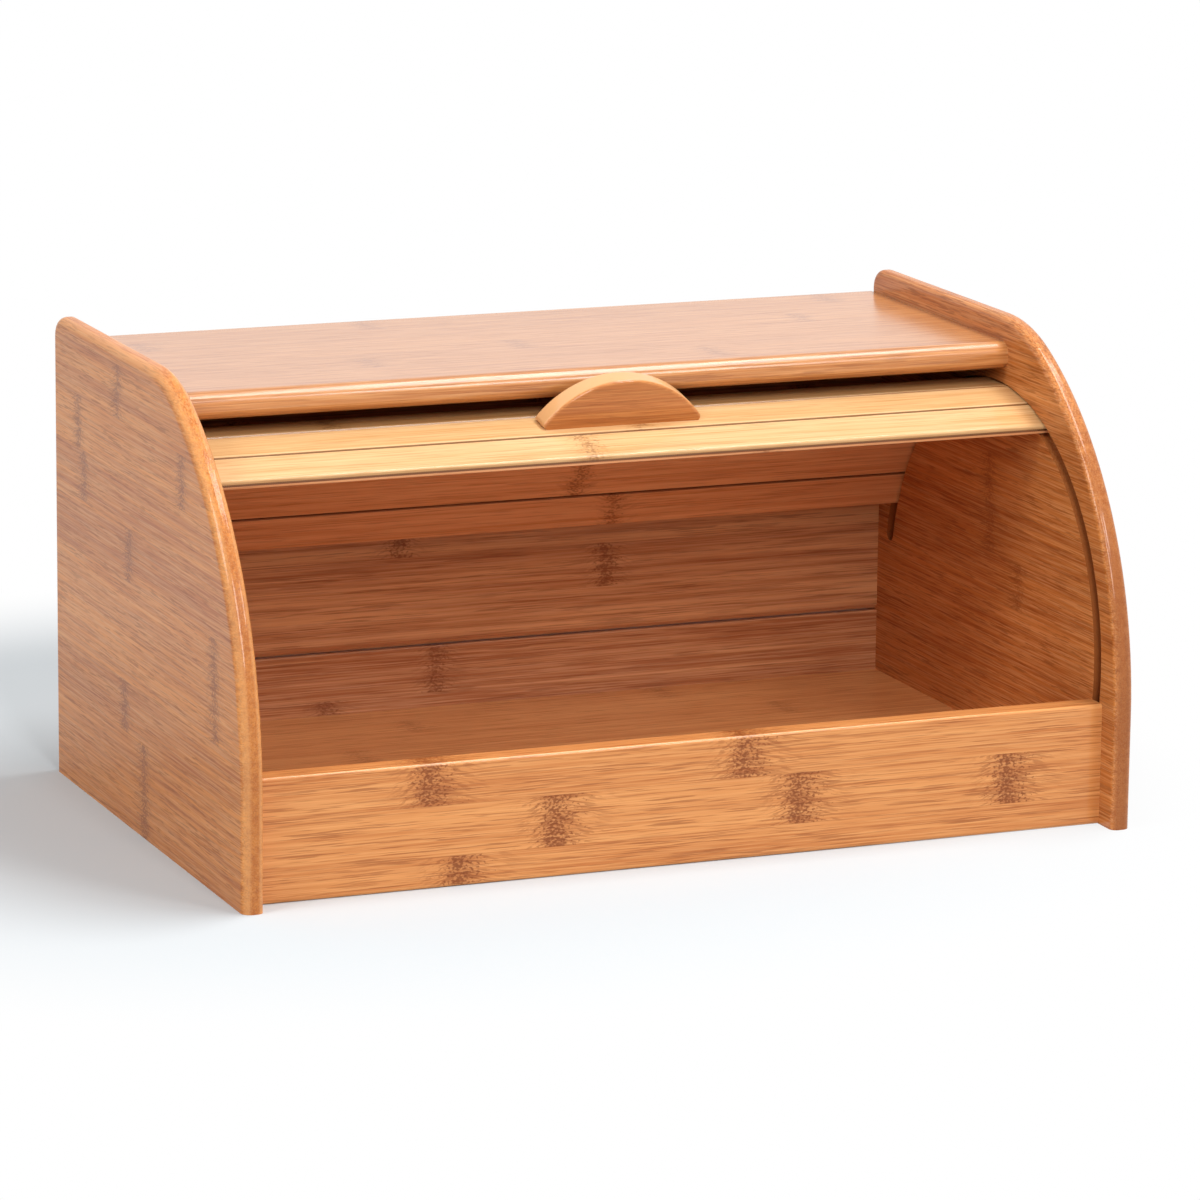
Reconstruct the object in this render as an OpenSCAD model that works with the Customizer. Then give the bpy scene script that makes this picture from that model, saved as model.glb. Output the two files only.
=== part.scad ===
// Tambour lid box in laminated bamboo. Two shaped side panels carry a fixed top,
// a back, a floor and a low front rail. A slatted lid runs in a round groove in
// each side panel and stops on the front rail.
// Millimetres. +X is the right side, +Y the back, +Z up. The origin is the centre
// of the footprint, on the ground. The lid is drawn raised, as in the photograph.

/* [Box] */
// Width over both side panels
box_w = 400; // [300:1:520]
// Depth of the side panels at the ground
box_d = 253.5; // [250:0.5:280]
// Height of the side panels
box_h = 203.5; // [200:0.5:215]

/* [Side panels] */
// Thickness of a side panel
side_t = 9; // [8:0.5:14]
// Radius of the shoulder, where the flat top turns down
shoulder_r = 79; // [72:0.5:90]
// Distance of the front curve's centre behind the shoulder's centre
centre_back = 40; // [36:1:44]
// Distance of the front curve's centre below the shoulder's centre
centre_down = 75; // [70:1:80]
// Radius of the corner between the top and the back
rear_corner_r = 9; // [7:0.5:20]
// Rounding along the edge of the outer face
edge_out_r = 4.25; // [1:0.25:4.25]
// Rounding along the edge of the inner face
edge_in_r = 3; // [1:0.25:3.5]

/* [Groove and lid] */
// Distance of the groove's centre in front of the box's centre
pivot_front = 3; // [1:0.5:4]
// Height of the groove's centre
pivot_h = 65.2; // [64:0.1:66]
// Radius of the groove's outer wall
groove_r = 109.1; // [108:0.1:110]
// Width of the groove
groove_w = 6.6; // [6.4:0.1:7.2]
// Depth of the groove
groove_depth = 4.5; // [3:0.1:5]
// Number of slats
slat_count = 9; // [8:1:10]
// Angle from one slat to the next
slat_deg = 11.3; // [10.8:0.1:11.4]
// From the middle of the first and last slats to their cut edges
end_half_w = 6.4; // [5:0.1:9]
// Open gap at each joint between slats
joint_gap = 0.7; // [0.4:0.1:1.2]
// Thickness of a slat's outer ply
outer_ply_t = 2.1; // [2:0.1:2.6]
// Thickness of the cloth between the plies
cloth_t = 0.4; // [0.3:0.1:0.6]
// Thickness of a slat's inner ply
inner_ply_t = 1.9; // [1.8:0.1:2.5]
// Angle by which the lid is drawn raised from closed
raised_deg = 70; // [0:0.5:72]

/* [Handle] */
// Length of the handle along the slat
handle_w = 75; // [50:1:110]
// Height of the handle above the slat
handle_h = 20.3; // [14:0.1:22]
// Thickness of the handle
handle_t = 11; // [8:0.5:12]
// Distance of the handle's middle behind the middle of its slat
handle_back = 1.3; // [0:0.1:1.5]
// Distance of the handle's middle to the right of the box's middle
handle_shift = 3.2; // [0:0.1:20]
// Distance between the handle's two screws
screw_pitch = 40; // [25:1:50]

/* [Fixed boards] */
// Drop from the side panels' crest to the top board
top_drop = 11; // [8:0.1:14]
// Thickness of the top board
top_t = 10.5; // [9:0.5:12]
// Distance of the top board's nose in front of the box's centre
top_nose = 15.7; // [10:0.1:17]
// Height of the front rail
rail_h = 52.8; // [50:0.1:53]
// Thickness of the front rail
rail_t = 12; // [10:0.5:14]
// Setback of the front rail from the side panels' front
rail_setback = 12.6; // [10:0.1:14]
// Height of the floor's upper face
floor_h = 17.5; // [14:0.5:22]
// Thickness of the floor
floor_t = 9; // [8:0.5:10]
// Thickness of the two back boards
back_t = 10; // [8:0.5:10]
// Setback of the back boards from the side panels' back
back_setback = 3; // [0:0.5:4]
// Height of the lower back board
back_rail_h = 45.5; // [35:0.5:60]

/* [Hidden] */
$fn = 96;
eps = 0.01;

inside_w = box_w - 2 * side_t;
front_y = -box_d / 2;
back_y = box_d / 2;

// Side panel outline: shoulder arc, then the longer front arc. Their centres are in line
// with the point where they meet, so they are tangent there.
front_r = shoulder_r + norm([centre_back, centre_down]);
front_centre = [front_y + front_r, box_h - shoulder_r - centre_down];
shoulder_centre = front_centre + [-centre_back, centre_down];
to_shoulder = [-centre_back, centre_down] / norm([centre_back, centre_down]);
beyond = front_centre + 3 * [-centre_back, centre_down];
edge_band = max(edge_out_r, edge_in_r) + 1;
edge_lap = 0.6;

// Groove: round ends, the rear one in view, the front one hidden by the rail.
pivot_y = -pivot_front;
groove_rear_deg = 10.3;
groove_front_deg = 188;
groove_mid_r = groove_r - groove_w / 2;

// Slats, measured from the groove's centre.
slat_edge_r = groove_r - 0.4;
half_deg = slat_deg / 2;
slat_face = slat_edge_r * cos(half_deg);
cloth_face = slat_face - outer_ply_t;
cloth_back = cloth_face - cloth_t;
slat_back = cloth_back - inner_ply_t;
slat_arris = 0.45;
lead_nose_r = 1;
slat_end_gap = 0.8;
slat_len = inside_w + 2 * (groove_depth - slat_end_gap);
cloth_len = inside_w - 4;

// Closed, the lead slat's outer edge comes down to a small gap above the rail.
rest_gap = 0.3;
lead_edge_r = norm([slat_face, end_half_w]);
closed_deg = 180 + asin((pivot_h - rail_h - rest_gap) / lead_edge_r) - atan(end_half_w / slat_face);
lead_deg = closed_deg - raised_deg;

// Handle: a segment of a disc with a rounded rim.
handle_slat = 2;
handle_r = (pow(handle_w / 2, 2) + pow(handle_h, 2)) / (2 * handle_h);
handle_arris = 1.5;
handle_end_r = 1.8;

// Countersunk screws from the lid's inner face.
screw_r = 1.75;
screw_head_r = 3.3;
screw_head_h = 1.9;
screw_len = 16;
screw_sink = 0.2;
screw_clear = 0.15;
screw_point = 3;

// Boards
top_z = box_h - top_drop - top_t;
top_nose_r = 6;
top_under_r = 3;
rail_y = front_y + rail_setback;
rail_arris = 1.5;
back_inner_y = back_y - back_setback - back_t;
back_joint = 0.6;
back_chamfer = 2;
board_arris = 0.8;

// Dowels: place of each pair of ends, as [y, z].
dowel_r = 3;
dowel_len = 24;
dowel_in_side = 6;
top_dowels = [for (y = [8, 60, 112]) [y, top_z + top_t / 2]];
rail_dowels = [for (z = [14, 36]) [rail_y + rail_t / 2, z]];
floor_dowels = [for (y = [-70, 0, 90]) [y, floor_h - floor_t / 2]];
back_rail_dowels = [for (z = [12, 34]) [back_inner_y + back_t / 2, z]];
back_panel_dowels = [for (z = [64, 114, 164]) [back_inner_y + back_t / 2, z]];
all_dowels = concat(top_dowels, rail_dowels, floor_dowels, back_rail_dowels, back_panel_dowels);

bamboo = [0.80, 0.56, 0.34];
bamboo_dark = [0.72, 0.47, 0.27];
bamboo_pale = [0.87, 0.69, 0.44];

// Turns a drawing of the side view into the room: x becomes +Y, y becomes +Z.
module side_view() {
    rotate([90, 0, 90]) children();
}

module across(length) {
    side_view() linear_extrude(length, center = true) children();
}

// ---- Side panels, drawn in the side view with the inner face at z = 0 ----

// The outline, drawn in by a margin on every edge except the bottom.
module side_outline(margin) {
    meet = shoulder_centre + (shoulder_r - margin) * to_shoulder;
    corner = [back_y - rear_corner_r, box_h - rear_corner_r];
    top_len = shoulder_centre.x - meet.x + eps;
    front_len = meet.x - front_y + eps;
    translate([shoulder_centre.x, 0]) square([corner.x - shoulder_centre.x, box_h - margin]);
    translate([shoulder_centre.x, 0]) square([back_y - margin - shoulder_centre.x, corner.y]);
    translate(corner) circle(rear_corner_r - margin);
    intersection() {
        translate(shoulder_centre) circle(shoulder_r - margin);
        translate([meet.x, shoulder_centre.y]) square([top_len, shoulder_r]);
    }
    translate([meet.x, 0]) square([top_len, shoulder_centre.y + eps]);
    intersection() {
        translate(front_centre) circle(front_r - margin);
        translate([front_y, front_centre.y]) square([front_len, meet.y - front_centre.y]);
    }
    translate([front_y + margin, 0]) square([front_len - margin, front_centre.y + eps]);
}

// Cross-section of the rounded edge: x runs outward, y from the inner to the outer face.
module edge_section() {
    square([edge_band - edge_out_r, side_t]);
    square([edge_band - edge_in_r, side_t - edge_out_r]);
    translate([0, edge_in_r]) square([edge_band, side_t - edge_in_r - edge_out_r]);
    translate([edge_band - edge_out_r, side_t - edge_out_r]) circle(edge_out_r);
    translate([edge_band - edge_in_r, edge_in_r]) circle(edge_in_r);
}

module edge_line(start, normal_deg, length) {
    translate(start) rotate(normal_deg - 90) side_view() linear_extrude(length) edge_section();
}

module edge_arc(centre, radius, from_deg, sweep_deg) {
    translate(centre) rotate(from_deg) rotate_extrude(angle = sweep_deg)
        translate([radius - edge_band, 0]) edge_section();
}

module groove() {
    depth = groove_depth + 1;
    translate([pivot_y, pivot_h, -1]) {
        rotate(groove_rear_deg) rotate_extrude(angle = groove_front_deg - groove_rear_deg)
            translate([groove_r - groove_w, 0]) square([groove_w, depth]);
        for (a = [groove_rear_deg, groove_front_deg])
            rotate(a) translate([groove_mid_r, 0]) cylinder(r = groove_w / 2, h = depth);
    }
}

// Keeps what lies within an outline of the side view, through the panel's thickness.
module keep_within(outline) {
    intersection() {
        children();
        translate([0, 0, -1]) linear_extrude(side_t + 2) polygon(outline);
    }
}

module side_panel() {
    ahead_y = front_y - 10;
    difference() {
        union() {
            linear_extrude(side_t) side_outline(edge_band - edge_lap);
            edge_line([back_y - edge_band, box_h - rear_corner_r], 0, box_h - rear_corner_r);
            edge_arc([back_y - rear_corner_r, box_h - rear_corner_r], rear_corner_r, 0, 90);
            edge_line([shoulder_centre.x, box_h - edge_band], 90, back_y - rear_corner_r - shoulder_centre.x);
            keep_within([front_centre, beyond, [front_centre.x, beyond.y]])
                edge_arc(shoulder_centre, shoulder_r, 90, 45);
            keep_within([front_centre, beyond, [ahead_y, beyond.y], [ahead_y, 0], [front_centre.x, 0]])
                translate(front_centre) mirror([0, 1, 0]) edge_arc([0, 0], front_r, 180, 75);
            edge_line([front_y + edge_band, 0], 180, front_centre.y);
        }
        groove();
        for (p = all_dowels)
            translate([p.x, p.y, -1]) cylinder(r = dowel_r, h = dowel_in_side + 1);
    }
}

module side_right() {
    color(bamboo) translate([inside_w / 2, 0, 0]) side_view() side_panel();
}

module side_left() {
    color(bamboo) mirror([1, 0, 0]) translate([inside_w / 2, 0, 0]) side_view() side_panel();
}

// ---- Dowels and the boards that they hold ----

// A cylinder at both ends of the boards, reaching into the side panels.
module dowel_pair(p) {
    for (side = [-1, 1])
        translate([side * (inside_w / 2 + dowel_in_side - dowel_len / 2), p.x, p.y])
            rotate([0, 90, 0]) cylinder(r = dowel_r, h = dowel_len, center = true);
}

module dowels() {
    color(bamboo_pale) for (p = all_dowels) dowel_pair(p);
}

// A board across the box with its dowel holes.
module board(places) {
    difference() {
        across(inside_w) children();
        for (p = places) dowel_pair(p);
    }
}

// A rectangle with its four corners rounded alike.
module round_rect(corner, size, radius) {
    translate(corner) {
        translate([radius, 0]) square([size.x - 2 * radius, size.y]);
        translate([0, radius]) square([size.x, size.y - 2 * radius]);
        for (x = [radius, size.x - radius], y = [radius, size.y - radius])
            translate([x, y]) circle(radius, $fn = 32);
    }
}

module top_board() {
    color(bamboo) board(top_dowels) translate([-top_nose, top_z]) {
        length = back_y + top_nose;
        translate([top_nose_r, 0]) square([length - top_nose_r, top_t]);
        translate([0, top_under_r]) square([length, top_t - top_under_r - top_nose_r]);
        translate([top_nose_r, top_t - top_nose_r]) circle(top_nose_r);
        translate([top_under_r, top_under_r]) circle(top_under_r);
    }
}

module front_rail() {
    color(bamboo_dark) board(rail_dowels) round_rect([rail_y, 0], [rail_t, rail_h], rail_arris);
}

module floor_board() {
    color(bamboo) board(floor_dowels) translate([rail_y + rail_t, floor_h - floor_t])
        square([back_inner_y - rail_y - rail_t, floor_t]);
}

module back_rail() {
    color(bamboo) board(back_rail_dowels) round_rect([back_inner_y, 0], [back_t, back_rail_h], board_arris);
}

module back_panel() {
    foot = back_rail_h + back_joint;
    color(bamboo) board(back_panel_dowels) polygon([
        [back_inner_y + back_chamfer, foot],
        [back_inner_y + back_t, foot],
        [back_inner_y + back_t, top_z],
        [back_inner_y, top_z],
        [back_inner_y, foot + back_chamfer]
    ]);
}

// ---- Lid: nine slats of two plies each, joined by the cloth between them ----

// Stands a shape on slat number n: +Z points away from the groove's centre.
module on_slat(n) {
    translate([0, pivot_y, pivot_h]) rotate([lead_deg - (n - 1) * slat_deg - 90, 0, 0]) children();
}

// Half the width of a slat at a height, between its joints.
function half_w(height) = height * tan(half_deg) - joint_gap / 2;

// Section of a ply between two heights, with its long outside arrises eased.
// The first and last slats are narrower and cut square at their free edges, and
// the outer ply of the first has a rounded nose there.
module ply_section(n, near, far, ease_near, ease_far, nose) {
    heights = [near, near + ease_near, far - ease_far, far];
    front = [for (h = heights) n == 1 ? end_half_w : half_w(h)];
    rear = [for (h = heights) n == slat_count ? end_half_w : half_w(h)];
    polygon(concat(
        [[rear[0] - ease_near, near], [rear[1], near + ease_near]],
        [[rear[2], far - ease_far], [rear[3] - ease_far, far]],
        nose > 0
            ? [[nose - front[3], far], [nose - front[3], far - nose], [-front[3], far - nose]]
            : [[ease_far - front[3], far], [-front[2], far - ease_far]],
        [[-front[1], near + ease_near], [ease_near - front[0], near]]
    ));
    if (nose > 0) translate([nose - front[3], far - nose]) circle(nose, $fn = 32);
}

// Screw axes of the handle, from the lid's inner face outward.
module at_screws() {
    on_slat(handle_slat) for (x = [-0.5, 0.5] * screw_pitch)
        translate([handle_shift + x, handle_back, slat_back]) children();
}

module screw_hole() {
    head_r = screw_head_r + screw_clear;
    translate([0, 0, -eps]) cylinder(r = head_r, h = screw_sink + 2 * eps);
    translate([0, 0, screw_sink]) cylinder(r1 = head_r, r2 = screw_r + screw_clear, h = screw_head_h);
    cylinder(r = screw_r + screw_clear, h = slat_face - slat_back + 1);
}

module outer_ply(n) {
    color(bamboo_pale) difference() {
        on_slat(n) across(slat_len)
            ply_section(n, cloth_face, slat_face, 0, slat_arris, n == 1 ? lead_nose_r : 0);
        if (n == handle_slat) at_screws() screw_hole();
    }
}

module inner_ply(n) {
    color(bamboo) difference() {
        on_slat(n) across(slat_len)
            ply_section(n, slat_back, cloth_back, slat_arris, 0, 0);
        if (n == handle_slat) at_screws() screw_hole();
    }
}

// A place in the side view on slat number n: its distance from the groove's centre
// and its distance in front of the slat's middle.
function slat_point(n, height, ahead) =
    let (a = lead_deg - (n - 1) * slat_deg) height * [cos(a), sin(a)] + ahead * [-sin(a), cos(a)];

// One side of the cloth, from the lead slat's cut edge over every joint to the last slat's.
function cloth_line(height) = concat(
    [slat_point(1, height, end_half_w)],
    [for (n = [1:slat_count - 1]) slat_point(n, height, -height * tan(half_deg))],
    [slat_point(slat_count, height, -end_half_w)]
);

function reverse(points) = [for (i = [len(points) - 1:-1:0]) points[i]];

// One sheet of cloth, bent a little at every joint.
module lid_cloth() {
    color("gainsboro") difference() {
        translate([0, pivot_y, pivot_h]) across(cloth_len)
            polygon(concat(cloth_line(cloth_face), reverse(cloth_line(cloth_back))));
        at_screws() screw_hole();
    }
}

module lid_handle() {
    color(bamboo_dark) difference() {
        on_slat(handle_slat) translate([handle_shift, handle_back, slat_face]) difference() {
            intersection() {
                translate([0, 0, handle_h - handle_r]) rotate([90, 0, 0]) rotate_extrude() handle_rim();
                translate([-handle_w, -handle_t, 0]) cube([2 * handle_w, 2 * handle_t, 2 * handle_h]);
            }
            for (end = [0, 1]) mirror([end, 0, 0]) handle_end();
        }
        at_screws() screw_shank();
    }
}

// Wood that is taken off below the rounded end of the handle.
module handle_end() {
    drop = handle_end_r + handle_r - handle_h;
    end_x = sqrt(pow(handle_r - handle_end_r, 2) - pow(drop, 2));
    touch_z = handle_end_r * (1 + drop / (handle_r - handle_end_r));
    difference() {
        translate([end_x, -handle_t, -1]) cube([handle_w, 2 * handle_t, touch_z + 1]);
        translate([end_x, 0, handle_end_r]) rotate([90, 0, 0])
            cylinder(r = handle_end_r, h = 3 * handle_t, center = true);
    }
}

// Half section of the handle's disc, from its axis to its rim.
module handle_rim() {
    translate([0, -handle_t / 2]) square([handle_r - handle_arris, handle_t]);
    translate([0, handle_arris - handle_t / 2]) square([handle_r, handle_t - 2 * handle_arris]);
    for (side = [-1, 1])
        translate([handle_r - handle_arris, side * (handle_t / 2 - handle_arris)])
            circle(handle_arris, $fn = 32);
}

module screw_shank() {
    translate([0, 0, screw_sink + screw_head_h]) {
        cylinder(r = screw_r, h = screw_len - screw_head_h - screw_point);
        translate([0, 0, screw_len - screw_head_h - screw_point])
            cylinder(r1 = screw_r, r2 = 0.3, h = screw_point);
    }
}

module handle_screws() {
    color("silver") at_screws() difference() {
        union() {
            translate([0, 0, screw_sink]) cylinder(r1 = screw_head_r, r2 = screw_r, h = screw_head_h);
            screw_shank();
        }
        for (a = [0, 90])
            translate([0, 0, screw_sink]) rotate(a) cube([3.6, 0.8, 2.2], center = true);
    }
}

side_left();
side_right();
top_board();
front_rail();
floor_board();
back_rail();
back_panel();
dowels();
outer_ply(1);  // slat_1_outer
outer_ply(2);  // slat_2_outer
outer_ply(3);  // slat_3_outer
outer_ply(4);  // slat_4_outer
outer_ply(5);  // slat_5_outer
outer_ply(6);  // slat_6_outer
outer_ply(7);  // slat_7_outer
outer_ply(8);  // slat_8_outer
outer_ply(9);  // slat_9_outer
inner_ply(1);  // slat_1_inner
inner_ply(2);  // slat_2_inner
inner_ply(3);  // slat_3_inner
inner_ply(4);  // slat_4_inner
inner_ply(5);  // slat_5_inner
inner_ply(6);  // slat_6_inner
inner_ply(7);  // slat_7_inner
inner_ply(8);  // slat_8_inner
inner_ply(9);  // slat_9_inner
lid_cloth();
lid_handle();
handle_screws();
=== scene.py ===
import bpy, math
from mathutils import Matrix, Quaternion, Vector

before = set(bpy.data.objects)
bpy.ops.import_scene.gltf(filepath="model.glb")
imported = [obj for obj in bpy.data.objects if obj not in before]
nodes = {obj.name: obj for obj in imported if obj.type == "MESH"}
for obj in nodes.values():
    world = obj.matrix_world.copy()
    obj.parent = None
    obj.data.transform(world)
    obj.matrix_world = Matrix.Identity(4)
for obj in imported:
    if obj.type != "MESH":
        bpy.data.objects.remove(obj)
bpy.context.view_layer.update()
mm = 0.001


def srgb(hexText):
    # sRGB hex to Blender's linear colour
    parts = [int(hexText[i:i + 2], 16) / 255 for i in (0, 2, 4)]
    return (*[c / 12.92 if c <= 0.04045 else ((c + 0.055) / 1.055) ** 2.4 for c in parts], 1)


def addNode(tree, kind, sockets=None, **settings):
    # sockets: a number or colour is set there, a node or an output is linked
    node = tree.nodes.new("ShaderNode" + kind)
    for name, value in settings.items():
        setattr(node, name, value)
    for socket, value in (sockets or {}).items():
        source = value.outputs[0] if isinstance(value, bpy.types.Node) else value
        if isinstance(source, bpy.types.NodeSocket):
            tree.links.new(source, node.inputs[socket])
        else:
            node.inputs[socket].default_value = source
    return node


def newMaterial(name):
    material = bpy.data.materials.new(name)
    material.use_nodes = True
    material.node_tree.nodes.clear()
    return material, material.node_tree


def dress(nodeNames, material):
    for name in nodeNames:
        mesh = nodes[name].data
        mesh.materials.clear()
        mesh.materials.append(material)
    print(material.name, "on", ", ".join(nodeNames))


# the camera stands where the photograph was taken from
cameraView = {
    "azimuth": 22.443,       # degrees round to the box's left front
    "elevation": 12.539,
    "roll": 0.648,
    "distance": 2544.35 * mm,
    "target": (5.29 * mm, 0, 92.34 * mm),
    "sensor": 36, "lens": 177.16,
    "shift": (0.0008, -0.0081),
}


def makeCamera(view):
    azimuth, elevation = math.radians(view["azimuth"]), math.radians(view["elevation"])
    back = Vector((-math.sin(azimuth) * math.cos(elevation),
                   -math.cos(azimuth) * math.cos(elevation),
                   math.sin(elevation)))
    data = bpy.data.cameras.new("photoCamera")
    data.lens = view["lens"]
    data.sensor_width = view["sensor"]
    data.sensor_fit = "HORIZONTAL"
    data.shift_x, data.shift_y = view["shift"]
    camera = bpy.data.objects.new("photoCamera", data)
    camera.location = Vector(view["target"]) + back * view["distance"]
    roll = Quaternion((0, 0, 1), math.radians(view["roll"]))
    camera.rotation_mode = "QUATERNION"
    camera.rotation_quaternion = (-back).to_track_quat("-Z", "Y") @ roll
    bpy.context.scene.collection.objects.link(camera)
    bpy.context.scene.camera = camera


makeCamera(cameraView)
print("camera set")

# the bamboo's patterns are noises stretched along the grain: size along and across it in mm,
# and the two noise levels between which the pattern fades in
bambooPatterns = {
    # real fibre bundles are about 0.4 mm thick, too fine to show, so the dashes are drawn
    # nearly twice as thick; each board gives their size
    "dashes": {"detail": 2, "roughness": 0.55, "levels": (0.52, 0.63), "fade": "SMOOTHSTEP"},
    "groups": {"size": (60, 5), "detail": 1, "levels": (0.34, 0.6), "gives": (0.5, 1)},
    "bands": {"size": (150, 2.6), "detail": 4, "roughness": 0.6, "levels": (0.3, 0.7)},
    "hairs": {"size": (40, 0.6), "detail": 2, "levels": (0.42, 0.7)},
    "waver": {"size": (40, 2.4), "detail": 3, "roughness": 0.6, "levels": (0, 1)},
    "feathers": {"size": (6, 0.9), "detail": 1, "levels": (0.48, 0.6)},
    "dots": {"size": (1.5, 1), "detail": 1},
    "ripple": {"size": (9, 3), "detail": 1},
}
# how squarely a surface faces an axis, as a cosine: where an effect starts and where it is full
bambooTurns = {
    "end": (0.55, 0.95),                              # cut ends face along the grain
    "offFlat": (0.98, 0.8), "offEdge": (0.1, 0.4),    # a rounding turns from face to edge
}
tableLength = 255      # mm across the strips that one table covers, in steps of 1 mm
farAway = 300          # mm along the grain, past the end of every board


def grainNoise(tree, place, pattern, **changes):
    # a noise stretched along the grain, faded in between its two levels where it has them
    pattern = {"roughness": 0.5, "gives": (0, 1), "fade": "LINEAR", **pattern, **changes}
    length, thickness = pattern["size"]
    stretch = (1 / length, 1 / thickness, 1 / thickness)
    stretched = addNode(tree, "VectorMath", {0: place, 1: stretch}, operation="MULTIPLY")
    noise = addNode(tree, "TexNoise", {"Vector": stretched, "Scale": 1, "Detail": pattern["detail"],
                                       "Roughness": pattern["roughness"]})
    if "levels" not in pattern:
        return noise
    (low, high), (least, most) = pattern["levels"], pattern["gives"]
    return addNode(tree, "MapRange", {0: noise, 1: low, 2: high, 3: least, 4: most},
                   interpolation_type=pattern["fade"])


def stripTable(tree, across, strips, shift=0):
    # which strip a point lies in: red, green and alpha hold the places of up to three nodes
    # along it, far away where it has fewer, and blue holds its tone
    at = addNode(tree, "Math", {0: across, 1: shift}, operation="ADD")
    at = addNode(tree, "Math", {0: at, 1: 1 / tableLength}, operation="MULTIPLY", use_clamp=True)
    table = addNode(tree, "ValToRGB", {0: at})
    ramp = table.color_ramp
    ramp.interpolation = "CONSTANT"
    ramp.elements.remove(ramp.elements[-1])
    for i, (edge, marks, tone) in enumerate(strips):
        # half a step early, so that the table's own steps meet at the edge
        stop = ramp.elements[0] if i == 0 else ramp.elements.new((edge - 0.5) / tableLength)
        marks = (*marks, farAway, farAway, farAway)[:3]
        first, second, third = [(mark + farAway) / (2 * farAway) for mark in marks]
        stop.color = (first, second, tone, third)
    return table


def fromCentre(tree, axes, centre):
    # how far ahead of the lid's centre a point lies, how far above it, and how far from it
    ahead = addNode(tree, "Math", {0: axes.outputs["Y"], 1: centre["y"]}, operation="SUBTRACT")
    above = addNode(tree, "Math", {0: axes.outputs["Z"], 1: centre["z"]}, operation="SUBTRACT")
    spoke = addNode(tree, "CombineXYZ", {0: 0, 1: ahead, 2: above})
    radius = addNode(tree, "VectorMath", {0: spoke}, operation="LENGTH").outputs["Value"]
    return ahead, above, radius


def jointLayers(tree, look, along, across, deep):
    # beside each joint a dark line is painted as the shade in the gap, and a painted highlight lies
    # on the next slat's edge
    joints = look["joints"]
    half = joints["pitch"] / 2
    past = addNode(tree, "Math", {0: across, 1: joints["pitch"]}, operation="FLOORED_MODULO")
    jointHighlight = addNode(tree, "Math", {0: past, 1: joints["jointHighlightAt"], 2: joints["jointHighlightHalf"]},
                     operation="COMPARE")
    clear = addNode(tree, "Math", {0: past, 1: half, 2: half - joints["jointShadeWidth"]},
                    operation="COMPARE")
    run = addNode(tree, "Math", {0: 1, 1: clear}, operation="SUBTRACT")
    # glue and frayed threads show along the cloth's edge, in one tooth to a millimetre
    teeth = addNode(tree, "Math", {0: along, 1: joints["toothPitch"] / 2}, operation="PINGPONG")
    teeth = addNode(tree, "Math", {0: teeth, 1: joints["toothSlope"], 2: joints["glueHalf"]},
                    operation="MULTIPLY_ADD")
    glued = addNode(tree, "Math", {0: deep, 1: joints["glueRadius"], 2: teeth}, operation="COMPARE")
    return [(jointHighlight, joints["jointHighlight"], look["bright"]),
            (run, joints["run"], look["node"]),
            (glued, joints["glued"], joints["glue"])]


def grooveDarkLayer(tree, axes, groove):
    # the groove is darker, from the panel's face to its floor
    radius = fromCentre(tree, axes, groove)[2]
    grooveDark = addNode(tree, "Math", {0: radius, 1: groove["radius"], 2: groove["half"]},
                       operation="COMPARE")
    sideways = addNode(tree, "Math", {0: axes.outputs["X"]}, operation="ABSOLUTE")
    for value, limit, side in ((sideways, groove["face"], "GREATER_THAN"),
                               (sideways, groove["floor"], "LESS_THAN"),
                               (axes.outputs["Z"], groove["foot"], "GREATER_THAN")):
        within = addNode(tree, "Math", {0: value, 1: limit}, operation=side)
        grooveDark = addNode(tree, "Math", {0: grooveDark, 1: within}, operation="MULTIPLY")
    return grooveDark, groove["grooveDark"], groove["colour"]


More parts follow.
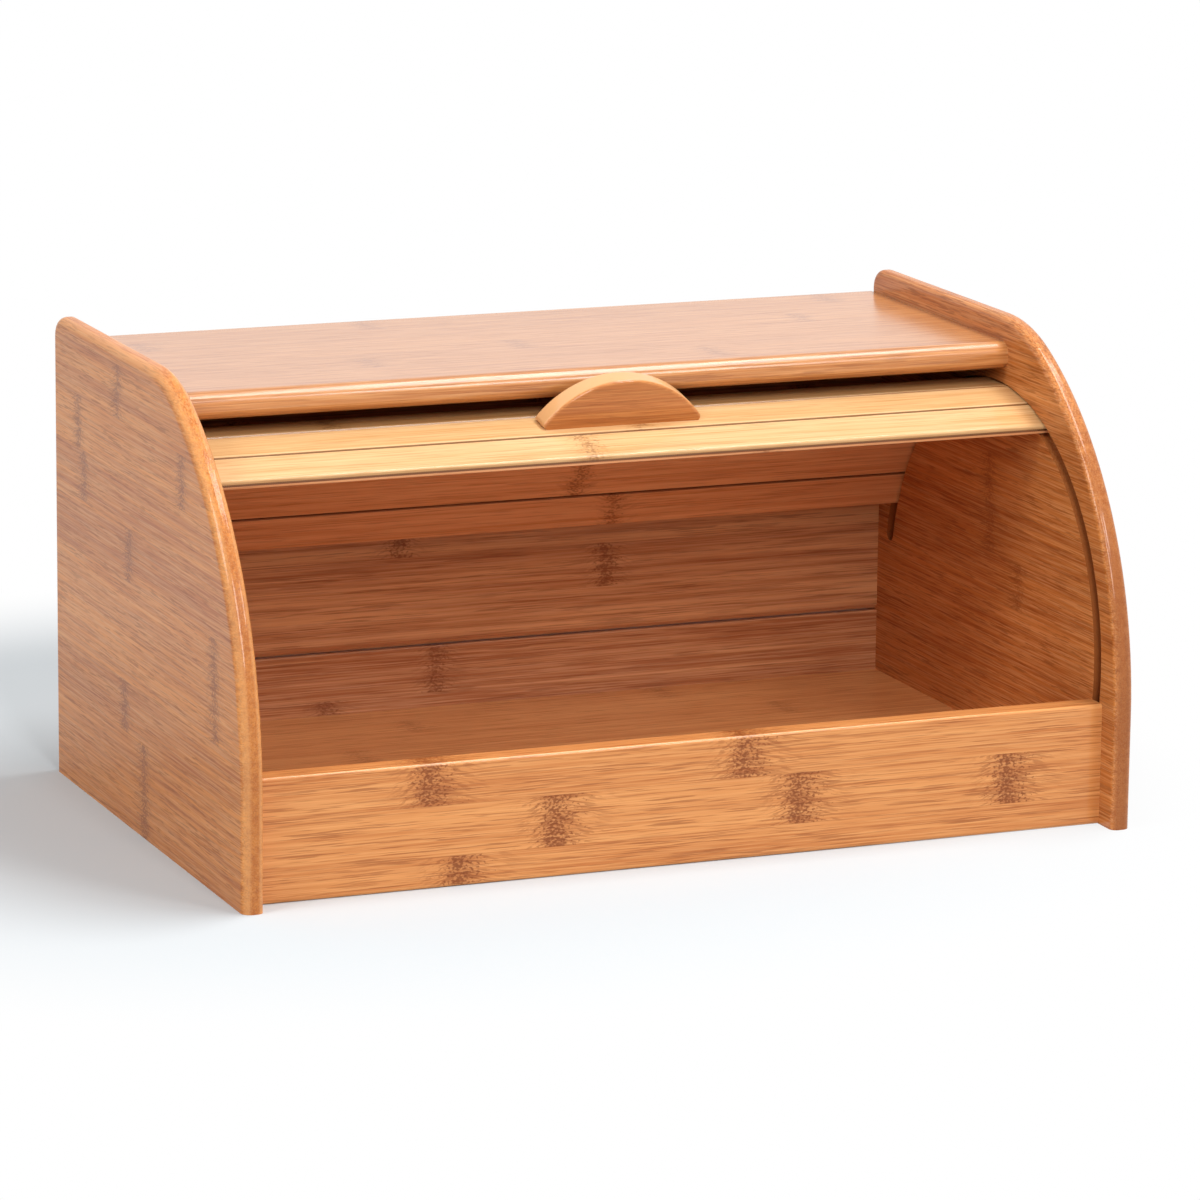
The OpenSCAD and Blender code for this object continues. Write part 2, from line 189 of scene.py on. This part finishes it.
def lacqueredBamboo(look):
    # Carbonised bamboo, split into strips about 22 mm wide, pressed side by side, sanded and
    # lacquered. It shows short dark fibre dashes along the grain, a tone of its own for each
    # strip, dark dots between slanting fibres where a stalk had its nodes, and a clear gloss.
    material, tree = newMaterial(look["name"])
    texture = addNode(tree, "TexCoord")
    place = addNode(tree, "VectorMath", {0: texture.outputs["Object"], "Scale": 1 / mm},
                    operation="SCALE")
    axes = addNode(tree, "SeparateXYZ", {0: place})
    along, deep = axes.outputs[look["grain"]], axes.outputs[look["depth"]]
    if look.get("round"):
        # the lid's slats stand on a circle: across them is along that circle
        circle = look["round"]
        ahead, above, deep = fromCentre(tree, axes, circle)
        turn = addNode(tree, "Math", {0: above, 1: ahead}, operation="ARCTAN2")
        arc = addNode(tree, "Math", {0: turn, 1: -circle["radius"]}, operation="MULTIPLY")
        start = math.radians(circle["from"]) * circle["radius"]
        across = addNode(tree, "Math", {0: arc, 1: start}, operation="ADD")
    else:
        across = addNode(tree, "Math", {0: axes.outputs[look["across"]], 1: look["start"]},
                         operation="SUBTRACT")

    # each strip is slid along the grain by a chance length, so that no two look alike
    table = stripTable(tree, across, look["strips"])
    strip = addNode(tree, "SeparateColor", {0: table})
    chance = addNode(tree, "TexWhiteNoise", {"Vector": table}, noise_dimensions="3D")
    slide = addNode(tree, "Math", {0: chance.outputs["Value"], 1: look["slide"]},
                    operation="MULTIPLY")
    own = addNode(tree, "Math", {0: along, 1: slide}, operation="ADD")
    board = addNode(tree, "CombineXYZ", {0: own, 1: across, 2: deep})

    # fibre bundles: dark dashes, gathered in groups, and thin bright hairs over bands of tone
    dashes = grainNoise(tree, board, bambooPatterns["dashes"], size=look["dashSize"])
    groups = grainNoise(tree, board, bambooPatterns["groups"])
    dark = addNode(tree, "Math", {0: dashes, 1: groups}, operation="MULTIPLY")
    hairs = grainNoise(tree, board, bambooPatterns["hairs"])
    bands = grainNoise(tree, board, bambooPatterns["bands"],
                       gives=(-look["streak"], look["streak"]))

    # node marks: the distance from the nearest node line, which wavers
    waver = grainNoise(tree, board, bambooPatterns["waver"],
                       gives=(-look["waver"], look["waver"]))
    near = None
    for mark in (strip.outputs["Red"], strip.outputs["Green"], table.outputs["Alpha"]):
        at = addNode(tree, "MapRange", {0: mark, 3: -farAway, 4: farAway})
        off = addNode(tree, "Math", {0: along, 1: at}, operation="SUBTRACT")
        off = addNode(tree, "Math", {0: off, 1: waver}, operation="ADD")
        before = addNode(tree, "Math", {0: off, 1: look["lean"]}, operation="MULTIPLY")
        behind = addNode(tree, "Math", {0: off, 1: -1}, operation="MULTIPLY")
        line = addNode(tree, "Math", {0: before, 1: behind}, operation="MAXIMUM")
        near = addNode(tree, "Math", {0: near, 1: line}, operation="MINIMUM") if near else line

    # fibres turn aside at the node, in a herringbone on both sides of it
    slant = addNode(tree, "Math", {0: near, 1: look["slant"], 2: across}, operation="MULTIPLY_ADD")
    slanted = addNode(tree, "CombineXYZ", {0: near, 1: slant, 2: deep})
    feathers = grainNoise(tree, slanted, bambooPatterns["feathers"])
    fade = addNode(tree, "MapRange", {0: near, 1: 1, 2: look["feather"], 3: 1, 4: 0},
                   interpolation_type="SMOOTHSTEP")
    feathers = addNode(tree, "Math", {0: feathers, 1: fade}, operation="MULTIPLY")
    smudge = addNode(tree, "MapRange", {0: near, 1: 0, 2: look["smudge"], 3: 1, 4: 0},
                     interpolation_type="SMOOTHSTEP")
    # dots crowd at the line and thin out away from it
    dots = grainNoise(tree, board, bambooPatterns["dots"])
    dots = addNode(tree, "Math", {0: near, 1: -look["thinning"] / look["core"], 2: dots},
                   operation="MULTIPLY_ADD")
    low, high = look["dotLevels"]
    dots = addNode(tree, "MapRange", {0: dots, 1: low, 2: high})

    # the glue line between two strips: the table differs on its two sides
    sides = [stripTable(tree, across, look["strips"], shift)
             for shift in (-look["seamHalf"], look["seamHalf"])]
    step = addNode(tree, "VectorMath", {0: sides[0], 1: sides[1]}, operation="DISTANCE")
    seam = addNode(tree, "Math", {0: step.outputs["Value"], 1: look["seamStep"]},
                   operation="GREATER_THAN")

    # cut ends show the darker end grain; roundings are a little paler, partly from sanding and
    # partly as a painted highlight
    normal = addNode(tree, "VectorMath", {0: texture.outputs["Normal"]}, operation="ABSOLUTE")
    facing = addNode(tree, "SeparateXYZ", {0: normal})
    turned = {}
    for name, (none, full) in bambooTurns.items():
        axis = look["grain"] if name == "end" else look["depth"]
        turned[name] = addNode(tree, "MapRange", {0: facing.outputs[axis], 1: none, 2: full})
    roundingWearAndHighlight = addNode(tree, "Math", {0: turned["offFlat"], 1: turned["offEdge"]},
                       operation="MULTIPLY")

    # the colours lie one over the other: where, how much of it at most, and its colour
    layers = [
        (hairs, look["hair"], look["bright"]),
        (dark, look["dash"], look["fibre"]),
        (smudge, look["mark"] * look["smudgeShare"], look["fibre"]),
        (feathers, look["mark"] * look["featherShare"], look["fibre"]),
        (dots, look["mark"] * look["dotShare"], look["node"]),
        (seam, look["seam"], look["fibre"]),
        (turned["end"], look["endShare"], look["end"]),
        (roundingWearAndHighlight, look["wornAndHighlight"], look["bright"]),
    ]
    if look.get("joints"):
        layers += jointLayers(tree, look, along, across, deep)
    # painted highlight: where the surface turns away from the front face, as on the handle's arched
    # rim, it is painted paler
    if look.get("rim"):
        none, full = look["rimTurn"]
        rim = addNode(tree, "MapRange", {0: facing.outputs[look["depth"]], 1: none, 2: full})
        layers.append((rim, look["rimShare"], look["rim"]))
    if look.get("groove"):
        layers.append(grooveDarkLayer(tree, axes, look["groove"]))
    tone = addNode(tree, "Math", {0: strip.outputs["Blue"], 1: bands}, operation="ADD",
                   use_clamp=True)
    colour = addNode(tree, "Mix", {0: tone, 6: srgb(look["pale"]), 7: srgb(look["deep"])},
                     data_type="RGBA")
    for mask, most, hexText in layers:
        share = addNode(tree, "Math", {0: mask, 1: most}, operation="MULTIPLY")
        colour = addNode(tree, "Mix", {0: share, 6: colour.outputs[2], 7: srgb(hexText)},
                         data_type="RGBA")

    # the lacquer ripples very slightly and lies a little lower over the fibres and dots
    relief = grainNoise(tree, board, bambooPatterns["ripple"])
    for mask, sink in ((dark, look["fibreSink"]), (dots, look["dotSink"])):
        relief = addNode(tree, "Math", {0: mask, 1: -sink, 2: relief}, operation="MULTIPLY_ADD")
    bump = addNode(tree, "Bump", {"Height": relief, "Strength": look["relief"],
                                  "Distance": look["reliefDepth"] * mm})
    rough = addNode(tree, "MapRange", {0: dark, 3: look["rough"],
                                       4: look["rough"] + look["fibreRough"]})
    shader = addNode(tree, "BsdfPrincipled", {
        "Base Color": colour.outputs[2], "Roughness": rough, "Normal": bump, "IOR": 1.5,
        "Specular IOR Level": look["underGloss"],
        "Coat Weight": look["coat"], "Coat Roughness": look["coatRough"], "Coat IOR": 1.5,
    })
    addNode(tree, "OutputMaterial", {"Surface": shader})
    return material


# common to every board of the box; each board changes what it needs
bambooBase = {
    "pale": "d4925a", "deep": "ae6833", "bright": "e2aa72",    # the wood, and what is paler on it, which also gives the painted highlights
    "fibre": "7c4220", "node": "7b4019", "end": "96562b",
    "slide": 400,                           # mm, the most that a strip is slid along the grain
    # the fibres: shares of the dark dashes, pale hairs and bands of tone, and a dash's size in mm
    "dash": 0.5, "hair": 0.45, "streak": 0.6, "dashSize": (15, 0.75),
    # the node marks: their share, and how much of it smudge, feathers and dots have
    "mark": 0.75, "smudgeShare": 0.35, "featherShare": 0.75, "dotShare": 0.9,
    # in mm, how far the node line wavers, and how far dots, smudge and feathers reach from it
    "waver": 6, "core": 5, "smudge": 8, "feather": 13,
    "lean": 0.8,                            # below 1, a mark reaches further on its far side
    "slant": 0.4,                           # mm sideways for each mm that a feather runs on
    "thinning": 0.25, "dotLevels": (0.38, 0.52),
    # the glue line: its share, half its width in mm, and the least change that counts as one
    "seam": 0.2, "seamHalf": 0.18, "seamStep": 0.002,
    "endShare": 0.5, "wornAndHighlight": 0.3,           # shares of the end grain and of the roundings' paler band, part wear and part painted highlight
    "relief": 0.4, "reliefDepth": 0.12, "fibreSink": 0.5, "dotSink": 0.6,    # depth in mm
    # the wood under the lacquer is dull, and the lacquer is a clear coat over it
    "rough": 0.45, "fibreRough": 0.12, "underGloss": 0.05, "coat": 0.55, "coatRough": 0.13,
}
# the lid and its grooves turn about one centre, mm
lidCentre = {"y": -3, "z": 65.2}

# the strips: mm across from the start, the nodes' places along the grain, tone from pale to deep
leftSideLook = {
    **bambooBase, "name": "lacqueredBambooLeftSide",
    "grain": "Y", "across": "Z", "depth": "X", "start": -3,
    "strips": [(0, (0.8,), 0.45), (22, (1.5,), 0.4), (44, (27.5,), 0.55), (66, (-91.7,), 0.3),
               (88, (-90.5,), 0.4), (110, (20.7,), 0.75), (132, (82.9,), 0.55),
               (154, (90.9, -49.2), 0.35), (177, (35.7,), 0.5), (200, (-60,), 0.45)],
    "pale": "dc8a3e", "deep": "b05e20", "fibre": "8a4a20", "node": "87481e",
    "mark": 0.65, "coat": 0.5,
    # mm: the groove's middle and half its width, its depth from the box's middle, and its foot
    "groove": {**lidCentre, "radius": 105.8, "half": 3.5, "face": 191.1, "floor": 195.7,
               "foot": 40, "grooveDark": 0.65, "colour": "93522a"},
}
rightSideLook = {
    **leftSideLook, "name": "lacqueredBambooRightSide", "start": -2,
    "strips": [(0, (60,), 0.5), (12, (), 0.35), (34, (), 0.6), (56, (), 0.4),
               (78, (-32,), 0.55), (99, (-2,), 0.7), (121, (0,), 0.45), (143, (66,), 0.6),
               (166, (10,), 0.4), (188, (-70,), 0.5)],
    # painted shade: the right side is a deeper copy of the left side's bamboo, darker as its inner
    # face lies in the box's shade
    "pale": "ca7e40", "deep": "a35824", "fibre": "783e1c", "end": "8e4d22",
    "mark": 0.45, "wornAndHighlight": 0, "endShare": 0.75,
}
topLook = {
    **bambooBase, "name": "lacqueredBambooTop",
    "grain": "X", "across": "Y", "depth": "Z", "start": -20,
    "strips": [(0, (), 0.4), (16, (60,), 0.3), (38, (-90,), 0.5), (60, (-13.7,), 0.4),
               (82, (130,), 0.3), (104, (-170,), 0.5), (125, (162, -60), 0.45)],
    "pale": "bd7c44", "deep": "a66532",
    "mark": 0.35, "dash": 0.4, "dashSize": (22, 0.8), "wornAndHighlight": 0, "coat": 1, "coatRough": 0.2,
}
railLook = {
    **bambooBase, "name": "lacqueredBambooRail",
    "grain": "X", "across": "Z", "depth": "Y", "start": 0,
    "strips": [(0, (-103.4,), 0.55), (13, (-61.2, 48.8, 145.6), 0.3), (35, (-116.3, 24.3), 0.45)],
    "pale": "d68f52", "deep": "bb6f38", "bright": "e6a86a", "fibre": "8a461e", "node": "7a3b17",
    "dash": 0.6, "dashSize": (24, 0.65),
    "mark": 0.85, "waver": 5, "core": 8, "smudge": 10, "feather": 22, "lean": 0.6,
}
backLook = {
    **bambooBase, "name": "lacqueredBambooBack",
    "grain": "X", "across": "Z", "depth": "Y", "start": 0,
    # painted shade: the three lowest strips, which make the back rail, have deep tones, so that the
    # box's back is darker low down
    "strips": [(0, (), 0.9), (2, (-79.2,), 0.95), (24, (-26.9,), 0.85), (46, (), 0.4),
               (67, (55,), 0.5), (87, (-44.8,), 0.25), (109, (100,), 0.4), (131, (-120, 150), 0.4),
               (153, (20,), 0.6), (175, (-60,), 0.5)],
    "pale": "e0a370", "deep": "ad6a42", "bright": "e8b285", "fibre": "804629", "node": "733b20",
    "dash": 0.45, "dashSize": (24, 0.7),
    "mark": 0.55, "waver": 5, "core": 6, "smudge": 8, "feather": 15,
}
floorLook = {
    **bambooBase, "name": "lacqueredBambooFloor",
    "grain": "X", "across": "Y", "depth": "Z", "start": -105,
    "strips": [(0, (40,), 0.4), (22, (-130,), 0.5), (44, (105,), 0.35), (66, (-20,), 0.5),
               (88, (160, -140), 0.45), (110, (30,), 0.55), (132, (-90,), 0.4), (154, (120,), 0.5),
               (176, (-50,), 0.45), (198, (80,), 0.5)],
    "pale": "e8a668", "deep": "d0854c", "bright": "eeb47a",
    "dash": 0.4, "dashSize": (24, 0.7), "mark": 0.25,
}
slatLook = {
    **bambooBase, "name": "lacqueredBambooSlatOuter",
    "grain": "X", "depth": "Z",
    "round": {**lidCentre, "radius": 106.5, "from": 118.68},     # degrees, the lead slat's edge
    "strips": [(0, (-18.7,), 0.25), (21, (9.9,), 0.2), (42, (-120,), 0.5), (63, (90,), 0.3),
               (84, (-40,), 0.45), (105, (140,), 0.3), (126, (-90,), 0.4), (147, (30,), 0.3),
               (168, (-150,), 0.4)],
    "pale": "d6a873", "deep": "c68f53", "bright": "e9c594", "fibre": "ad7038", "node": "6e3b19",
    "dash": 0.35, "dashSize": (26, 0.7), "mark": 0.5, "wornAndHighlight": 0, "endShare": 0.3,
    "joints": {
        "pitch": 21,                                         # mm, from joint to joint
        # the painted shade in each joint's gap: share, width in mm
        "run": 0.75, "jointShadeWidth": 0.75,                       # share, mm
        # the painted highlight on the next slat's edge
        "jointHighlight": 0.6, "jointHighlightAt": 1.5, "jointHighlightHalf": 0.7,   # share, mm past the joint, mm
        "glued": 0.85, "glueRadius": 106.06, "glueHalf": 0.35, "glue": "5e3117",
        "toothPitch": 1, "toothSlope": 0.9,
    },
}
slatInnerLook = {
    **slatLook, "name": "lacqueredBambooSlatInner",
    "strips": [(0, (60,), 0.5), (21, (-90,), 0.4), (42, (20,), 0.6), (63, (-150,), 0.45),
               (84, (110,), 0.5), (105, (-60,), 0.4), (126, (17,), 0.55), (147, (29,), 0.45),
               (168, (49,), 0.5)],
    "pale": "e6a472", "deep": "cc8450", "bright": "e8b07c", "fibre": "8c5028", "node": "6a3819",
    # inside, painted shade at the joints but no painted highlight
    "joints": {**slatLook["joints"], "run": 0.6, "jointHighlight": 0},
}
handleLook = {
    **bambooBase, "name": "lacqueredBambooHandle",
    "grain": "X", "across": "Z", "depth": "Y", "start": 160,
    "strips": [(0, (), 0.5), (30, (), 0.55)],
    "pale": "c0763e", "deep": "a6602e", "bright": "d69555", "fibre": "8a4c22", "node": "7a4421",
    "dash": 0.4, "dashSize": (18, 0.7), "endShare": 0, "wornAndHighlight": 0.2,
    "rim": "dca873", "rimShare": 0.9, "rimTurn": (0.75, 0.35),    # painted highlight: the arched rim is painted paler where light from above falls on it
}

dress(["side_left"], lacqueredBamboo(leftSideLook))
dress(["side_right"], lacqueredBamboo(rightSideLook))
dress(["top_board"], lacqueredBamboo(topLook))
dress(["front_rail"], lacqueredBamboo(railLook))
dress(["back_rail", "back_panel"], lacqueredBamboo(backLook))
dress(["floor_board"], lacqueredBamboo(floorLook))
dress([name for name in nodes if name.endswith("_outer")], lacqueredBamboo(slatLook))
dress([name for name in nodes if name.endswith("_inner")], lacqueredBamboo(slatInnerLook))
dress(["lid_handle"], lacqueredBamboo(handleLook))

clothLook = {
    "thread": "9c6b42", "gap": "5f3a20",
    "pitch": 1.0,      # mm; real threads lie about half as far apart, too fine to show
    "levels": (-0.4, 0.7), "relief": 0.6, "reliefDepth": 0.2, "rough": 0.85, "fuzz": 0.2,
}


def wovenCotton(look):
    # Plain-woven cotton backing, brown with glue: rows of thread ends show at its cut edge
    material, tree = newMaterial("wovenCottonBacking")
    texture = addNode(tree, "TexCoord")
    axes = addNode(tree, "SeparateXYZ", {0: texture.outputs["Object"]})
    slope = addNode(tree, "Math", {0: axes.outputs["Y"], 1: axes.outputs["Z"]}, operation="ADD")
    turns = 2 * math.pi / (look["pitch"] * mm)
    threads = []
    for run in (axes.outputs["X"], slope):
        phase = addNode(tree, "Math", {0: run, 1: turns}, operation="MULTIPLY")
        threads.append(addNode(tree, "Math", {0: phase}, operation="SINE"))
    weave = addNode(tree, "Math", {0: threads[0], 1: threads[1]}, operation="MAXIMUM")
    low, high = look["levels"]
    share = addNode(tree, "MapRange", {0: weave, 1: low, 2: high})
    colour = addNode(tree, "Mix", {0: share, 6: srgb(look["gap"]), 7: srgb(look["thread"])},
                     data_type="RGBA")
    bump = addNode(tree, "Bump", {"Height": share, "Strength": look["relief"],
                                  "Distance": look["reliefDepth"] * mm})
    shader = addNode(tree, "BsdfPrincipled", {
        "Base Color": colour.outputs[2], "Normal": bump, "Roughness": look["rough"],
        "Sheen Weight": look["fuzz"],
    })
    addNode(tree, "OutputMaterial", {"Surface": shader})
    return material


screwLook = {
    "dull": "b9bbbd", "bright": "dadbdc",
    "grain": 0.4,      # mm, of the plating
    "rough": (0.25, 0.42),
}


def zincPlatedSteel(look):
    # Zinc-plated steel: bright and slightly mottled, with a gloss that varies over the plating
    material, tree = newMaterial("zincPlatedSteel")
    texture = addNode(tree, "TexCoord")
    mottle = addNode(tree, "TexNoise", {"Vector": texture.outputs["Object"], "Detail": 2,
                                        "Scale": 1 / (look["grain"] * mm)})
    colour = addNode(tree, "Mix", {0: mottle, 6: srgb(look["dull"]), 7: srgb(look["bright"])},
                     data_type="RGBA")
    smooth, coarse = look["rough"]
    rough = addNode(tree, "MapRange", {0: mottle, 3: smooth, 4: coarse})
    shader = addNode(tree, "BsdfPrincipled", {"Base Color": colour.outputs[2], "Metallic": 1,
                                              "Roughness": rough})
    addNode(tree, "OutputMaterial", {"Surface": shader})
    return material


dowelLook = {
    "wood": "d8b48c", "fleck": "b98a5f",
    "fleckSize": (2, 0.4),      # mm along and across the grain
    "levels": (0.5, 0.66), "relief": 0.2, "reliefDepth": 0.05, "rough": 0.6,
}


def turnedBeech(look):
    # Turned beech dowels: pale and pinkish, with short dark flecks along the grain
    material, tree = newMaterial("turnedBeech")
    texture = addNode(tree, "TexCoord")
    length, thickness = [size * mm for size in look["fleckSize"]]
    place = addNode(tree, "VectorMath", {0: texture.outputs["Object"],
                                         1: (1 / length, 1 / thickness, 1 / thickness)},
                    operation="MULTIPLY")
    noise = addNode(tree, "TexNoise", {"Vector": place, "Scale": 1, "Detail": 2})
    low, high = look["levels"]
    fleck = addNode(tree, "MapRange", {0: noise, 1: low, 2: high})
    colour = addNode(tree, "Mix", {0: fleck, 6: srgb(look["wood"]), 7: srgb(look["fleck"])},
                     data_type="RGBA")
    bump = addNode(tree, "Bump", {"Height": fleck, "Strength": look["relief"],
                                  "Distance": look["reliefDepth"] * mm})
    shader = addNode(tree, "BsdfPrincipled", {"Base Color": colour.outputs[2], "Normal": bump,
                                              "Roughness": look["rough"]})
    addNode(tree, "OutputMaterial", {"Surface": shader})
    return material


dress(["lid_cloth"], wovenCotton(clothLook))
dress(["handle_screws"], zincPlatedSteel(screwLook))
dress(["dowels"], turnedBeech(dowelLook))

# studio: a white floor that keeps the shadow, a white surround, soft lamps; lengths in metres
studio = {
    "floorSize": 12,
    "floorColour": "c8cdd0",                 # a little cool, against the warm light off the box
    "shadowCentre": (-0.1, 0.08, 0),         # the shadow falls to the left and behind
    "paperFrom": 0.24, "paperTo": 0.4,       # this far from there the floor turns plain white
    "surround": 0.43,                        # what the surround gives as light
    "aim": (0, 0, 0.1),
    # place, width, height, power in watts
    "lamps": {
        "overhead": ((0.55, -0.15, 1.6), 1.1, 0.5, 20),
        "key": ((0.7, -1.45, 1.3), 0.4, 0.35, 7.5),
        "front": ((-0.25, -1.6, 1.15), 0.4, 0.8, 14.5),
        "fill": ((-1.35, -0.5, 1.3), 0.6, 0.6, 10),
    },
}


def seenRays(tree):
    # 1 for rays from the camera, a mirror or glass
    path = addNode(tree, "LightPath")
    seen = path.outputs["Is Camera Ray"]
    for kind in ("Is Glossy Ray", "Is Transmission Ray"):
        seen = addNode(tree, "Math", {0: seen, 1: path.outputs[kind]}, operation="MAXIMUM")
    return seen


def makeFloor(look):
    bpy.ops.object.select_all(action="DESELECT")
    bpy.ops.mesh.primitive_plane_add(size=look["floorSize"], location=(0, 0, 0))
    floor = bpy.context.object
    floor.name = "studioFloor"
    # White paper: matt, and plain white to the eye away from the shadow
    material, tree = newMaterial("whitePaperSweep")
    paper = addNode(tree, "BsdfDiffuse", {"Color": srgb(look["floorColour"])})
    glow = addNode(tree, "Emission", {"Color": srgb("ffffff"), "Strength": 1})
    texture = addNode(tree, "TexCoord")
    spot = addNode(tree, "VectorMath", {0: texture.outputs["Object"], 1: look["shadowCentre"]},
                   operation="SUBTRACT")
    reach = addNode(tree, "VectorMath", {0: spot}, operation="LENGTH").outputs["Value"]
    away = addNode(tree, "MapRange", {0: reach, 1: look["paperFrom"], 2: look["paperTo"]},
                   interpolation_type="SMOOTHSTEP")
    share = addNode(tree, "Math", {0: seenRays(tree), 1: away}, operation="MULTIPLY")
    both = addNode(tree, "MixShader", {0: share, 1: paper, 2: glow})
    addNode(tree, "OutputMaterial", {"Surface": both})
    floor.data.materials.append(material)


def makeSurround(look):
    world = bpy.data.worlds.new("whiteSurround")
    bpy.context.scene.world = world
    world.use_nodes = True
    tree = world.node_tree
    tree.nodes.clear()
    strength = addNode(tree, "MapRange", {0: seenRays(tree), 3: look["surround"], 4: 1})
    background = addNode(tree, "Background", {"Color": srgb("ffffff"), "Strength": strength})
    addNode(tree, "OutputWorld", {"Surface": background})


def makeLamps(look):
    for name, (place, width, height, power) in look["lamps"].items():
        light = bpy.data.lights.new(name, "AREA")
        light.shape = "RECTANGLE"
        light.size, light.size_y = width, height
        light.energy = power
        lamp = bpy.data.objects.new(name, light)
        lamp.location = place
        toward = Vector(look["aim"]) - Vector(place)
        lamp.rotation_euler = toward.to_track_quat("-Z", "Y").to_euler()
        bpy.context.scene.collection.objects.link(lamp)


makeFloor(studio)
makeSurround(studio)
makeLamps(studio)
bpy.context.scene.view_settings.view_transform = "Standard"
print("studio lit")
